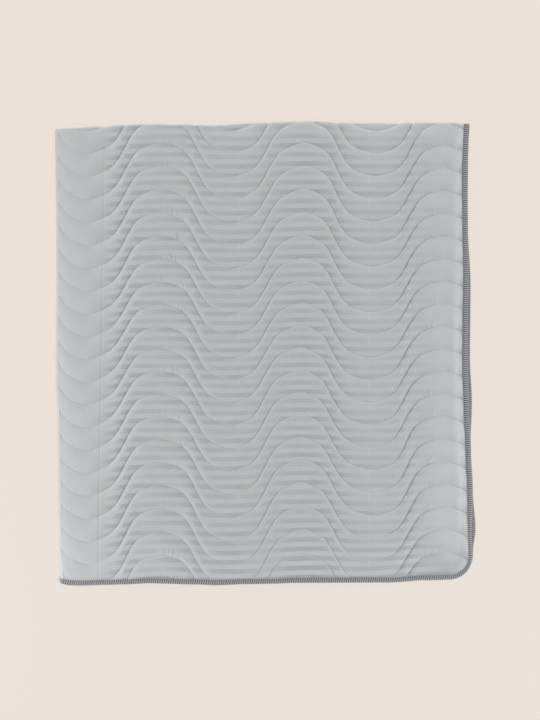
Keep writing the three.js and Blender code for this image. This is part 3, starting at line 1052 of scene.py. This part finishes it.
def satin_tone_with_painted_shade(nodes, x, down, swing, painted_shade, striped):
    """Two tones in stripes that sway with the quilting and tilt at the left, under painted shade."""
    tilted = nodes.math("MAXIMUM", nodes.minus(STRIPE_TILT_END, x), 0.0)
    sway = nodes.minus(nodes.times(swing, STRIPE_SWAY), nodes.times(tilted, STRIPE_TILT))
    measure = nodes.plus(nodes.minus(down, STRIPE_CENTRE), sway)
    wave = nodes.math("COSINE", nodes.times(measure, 2 * math.pi / STRIPE_PITCH))
    stripe = nodes.fade_in(wave, (-STRIPE_EDGE, STRIPE_EDGE))
    contrast = nodes.times(nodes.minus(0.5, stripe), striped)
    share = nodes.times(nodes.plus(contrast, 0.5), painted_shade)
    return nodes.colours(nodes.math("DIVIDE", share, FULL_PAINTED_SHADE), LIGHT_STRIPE_AND_SHEEN, DARK_STRIPE_AND_SHADE)


def weave_shade(nodes, x, down):
    """Slow clouds and short flecks, round a shade of 1."""
    cloud = nodes.noise(nodes.vector(x, down, 7.0), CLOUD_SCALE, detail=2.0)
    clouds = nodes.change(cloud, CLOUD_SPAN, 1 - CLOUD_SHADE, 1 + CLOUD_SHADE)
    fleck_place = nodes.stretched(x, down, FLECK_SCALES, 3.0)
    fleck = nodes.noise(fleck_place, detail=3.0, roughness=0.7)
    return nodes.times(clouds, nodes.change(fleck, FLECK_SPAN, 1 - FLECK_SHADE, 1 + FLECK_SHADE))


def flank_share(nodes, x, swing):
    """How steep a quilting line is, from 0 at its turns to 1 between them."""
    flank = nodes.minus(1.0, nodes.times(swing, swing))
    return nodes.math("MAXIMUM", flank, nodes.fade_in(x, SIDE_SEAM_START, SIDE_SEAM_SHARE))


def seam_shade(nodes, x, away, flank):
    """The stitch lines: partly their thread, partly painted shade in their grooves."""
    darkest = nodes.change(x, SEAM_CHANGE, LEFT_SEAM_SHADE, RIGHT_SEAM_SHADE)
    from_left = nodes.fade_in(x, STEEP_SEAM_START)
    on_steep = nodes.times(from_left, nodes.fade_out(x, STEEP_SEAM_END, STEEP_SEAM_SHADE))
    return nodes.times(flank, nodes.plus(darkest, on_steep), nodes.fade_out(away, SEAM_SPAN))


def ridge_highlight(nodes, below, flank):
    """Painted highlights on the ridges just under the quilting lines."""
    start = nodes.fade_in(below, RIDGE_START)
    return nodes.times(start, nodes.fade_out(below, RIDGE_END, RIDGE_HIGHLIGHT), flank)


def faint_crease_highlights(nodes, x, below):
    """Painted highlights for the faint upright creases under each quilting line."""
    under = nodes.fade_out(below, FAINT_END, FAINT_CREASE_HIGHLIGHT)
    creases = [nodes.fade_out(nodes.distance(x, place), CREASE_SPAN) for place in FAINT_CREASES]
    return nodes.times(nodes.plus(*creases), under)


def crease_highlight_and_shadow(nodes, down, away, off_crease):
    """The pressed crease's painted highlight, less its painted shadow and the notches in that."""
    light = nodes.fade_out(nodes.distance(off_crease), CREASE_SPAN, CREASE_HIGHLIGHT)
    beside = nodes.distance(off_crease, -CREASE_SHADOW_OFFSET)
    deepest = nodes.change(down, (0, FOLDED_LENGTH), CREASE_SHADOW_AT_TOP, CREASE_SHADOW_AT_BOTTOM)
    shadow = nodes.times(nodes.fade_out(beside, CREASE_SHADOW_SPAN), deepest)
    by_line = nodes.fade_out(away, NOTCH_HEIGHT, NOTCH_SHADE)
    notch = nodes.times(by_line, nodes.fade_in(down, NOTCH_START), nodes.fade_out(beside, NOTCH_WIDTH))
    return nodes.minus(light, nodes.plus(shadow, notch))


def broad_painted_light(nodes, x, down, inset):
    """The broad stretches of painted light, less the one of painted shade."""
    side_light = nodes.fade_out(inset, TAPE_SIDE_INSET, TAPE_SIDE_LIGHT)
    by_tape = nodes.times(side_light, nodes.fade_in(x, TAPE_SIDE_START))
    left_light = nodes.fade_out(x, LOWER_LEFT_END, LOWER_LEFT_LIGHT)
    lower_left = nodes.times(left_light, nodes.fade_in(down, LOWER_LEFT_START))
    from_left = nodes.fade_in(x, MIDDLE_START)
    middle = nodes.times(from_left, nodes.fade_out(x, MIDDLE_END, MIDDLE_SHADE))
    return nodes.minus(nodes.plus(by_tape, lower_left), middle)


def pucker_marks(nodes, x, line, below, puckered):
    """The upright puckers, from 0 between them to 1 on the strongest."""
    across, along = PUCKER_SCALES
    line_place = nodes.times(nodes.math("CEIL", line), PUCKER_LINE_STEP)
    mark_place = nodes.vector(nodes.times(x, across), line_place, nodes.times(line, along))
    mark = nodes.fade_in(nodes.noise(mark_place), PUCKER_SPAN)
    group_place = nodes.vector(nodes.times(x, GROUP_SCALE), line_place, 9.0)
    grouped = nodes.fade_in(nodes.noise(group_place, detail=0.0), GROUP_SPAN)
    above = nodes.times(nodes.fade_in(below, PUCKER_START), nodes.fade_out(below, PUCKER_END))
    return nodes.times(mark, grouped, above, puckered)


def fine_relief(nodes, x, down, line, away, off_crease, marks):
    """The bump of the gathers, the weave, the puckers and the pressed crease."""
    gather_place = nodes.stretched(x, line, GATHER_SCALES, 0.0)
    gather = nodes.noise(gather_place, detail=2.0, roughness=0.6)
    gathers = nodes.times(gather, nodes.fade_out(away, GATHER_REACH), GATHER_HEIGHT)
    weave = nodes.times(nodes.noise(nodes.stretched(x, down, WEAVE_SCALES, 0.0)), WEAVE_HEIGHT)
    raised = nodes.plus(gathers, weave, nodes.times(marks, PUCKER_HEIGHT))
    crease = nodes.fade_out(nodes.distance(off_crease), CREASE_WIDTH, CREASE_DEPTH)
    inputs = {"Height": nodes.minus(raised, crease), "Distance": METRE, "Strength": 1.0}
    return nodes.add("ShaderNodeBump", inputs).outputs[0]


def quilted_cloth():
    material = bpy.data.materials.new("quilted_cloth")
    nodes = Nodes(material, CLOTH_FINISH)
    x, down, inset = nodes.attribute("cloth")
    line, away, swing = nodes.attribute("quilt")
    painted_shade, striped, puckered = nodes.attribute("sheen_and_satin")
    below = nodes.math("FRACT", line)
    crease_drift = (CREASE_AT_BOTTOM - CREASE_AT_TOP) / FOLDED_LENGTH
    off_crease = nodes.minus(x, nodes.math("MULTIPLY_ADD", down, crease_drift, CREASE_AT_TOP))
    flank = flank_share(nodes, x, swing)
    marks = pucker_marks(nodes, x, line, below, puckered)
    # The cloth's own clouds and flecks, with painted light and shade added and taken away
    shade = nodes.plus(
        nodes.minus(weave_shade(nodes, x, down), seam_shade(nodes, x, away, flank)),
        ridge_highlight(nodes, below, flank),
        faint_crease_highlights(nodes, x, below),
        crease_highlight_and_shadow(nodes, down, away, off_crease),
        broad_painted_light(nodes, x, down, inset),
        nodes.times(marks, PUCKER_HIGHLIGHT),
    )
    # The stripes' two tones, with painted sheen and shade from the cloth's lean
    tone = satin_tone_with_painted_shade(nodes, x, down, swing, painted_shade, striped)
    nodes.put(nodes.shader.inputs["Base Color"], nodes.shaded(tone, shade))
    relief = fine_relief(nodes, x, down, line, away, off_crease, marks)
    nodes.put(nodes.shader.inputs["Normal"], relief)
    return material


def binding_tape():
    material = bpy.data.materials.new("binding_tape")
    nodes = Nodes(material, TAPE_FINISH)
    ridge, inset, on_side = nodes.attribute("tape")
    # Painted light on the ribs, painted shade in the valleys and, at the sides, near the cloth
    shadow_by_cloth = nodes.times(nodes.fade_in(inset, SIDE_LIP_SPAN, SIDE_LIP_SHADE), on_side)
    ribbed = nodes.times(ridge, nodes.minus(1.0, shadow_by_cloth))
    nodes.put(nodes.shader.inputs["Base Color"], nodes.colours(ribbed, SHADED_VALLEY_TONE, LIT_RIB_TONE))
    return material


def shift_to_middle(pad_points):
    """The move that brings the middle of the pad with its tape over the origin."""
    loop = tape_loop()
    tape = Place(loop[:, 0] + TAPE_REACH * loop[:, 2], loop[:, 1] + TAPE_REACH * loop[:, 3])
    outermost = tape.raised(np.full(len(loop), TAPE_MIDDLE))
    low = np.minimum(pad_points.min(0), outermost.min(0))
    high = np.maximum(pad_points.max(0), outermost.max(0))
    return np.array([-(low[0] + high[0]) / 2, -(low[1] + high[1]) / 2, 0.0])


def add_piece(mesh, material):
    piece = bpy.data.objects.new(mesh.name, mesh)
    bpy.context.collection.objects.link(piece)
    piece.data.materials.append(material)
    return piece


def add_protector():
    skin = Skin()
    add_front(skin)
    add_back(skin)
    add_rim(skin)
    shift = shift_to_middle(np.concatenate(skin.points))
    pad = add_piece(skin.mesh("folded_pad", shift), quilted_cloth())
    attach(pad, "root")
    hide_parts("quilted_pad")
    binding = add_piece(binding_mesh(shift), binding_tape())
    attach(binding, "root")
    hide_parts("binding")


def add_floor():
    bpy.ops.mesh.primitive_plane_add(size=FLOOR_SIZE, location=(0, 0, -FLOOR_DROP))
    floor = bpy.context.object
    floor.name = "floor"
    material = bpy.data.materials.new("pale_floor")
    Nodes(material, FLOOR_FINISH)
    floor.data.materials.append(material)


def add_lamp(name, place, size, power):
    light = bpy.data.lights.new(name, "AREA")
    light.shape = "RECTANGLE"
    light.size, light.size_y = size
    light.energy = power
    lamp = bpy.data.objects.new(name, light)
    lamp.location = place
    bpy.context.collection.objects.link(lamp)
    to_pad = Vector() - Vector(place)
    lamp.rotation_euler = to_pad.to_track_quat("-Z", "Y").to_euler()


def add_lights():
    for name, place, size, power in LAMPS:
        add_lamp(name, place, size, power)
    world = bpy.data.worlds.new("studio")
    world.use_nodes = True
    background = world.node_tree.nodes["Background"]
    background.inputs["Color"].default_value = SKY_TONE
    background.inputs["Strength"].default_value = SKY_STRENGTH
    bpy.context.scene.world = world
    bpy.context.scene.view_settings.view_transform = "Standard"


def add_camera():
    data = bpy.data.cameras.new("camera")
    data.lens = SENSOR / SEEN_LENGTH * SEEN_DISTANCE
    data.sensor_width = SENSOR
    data.clip_end = CAMERA_REACH
    camera = bpy.data.objects.new("camera", data)
    camera.location = CAMERA_PLACE
    bpy.context.collection.objects.link(camera)
    bpy.context.scene.camera = camera


add_protector()
add_floor()
add_lights()
add_camera()
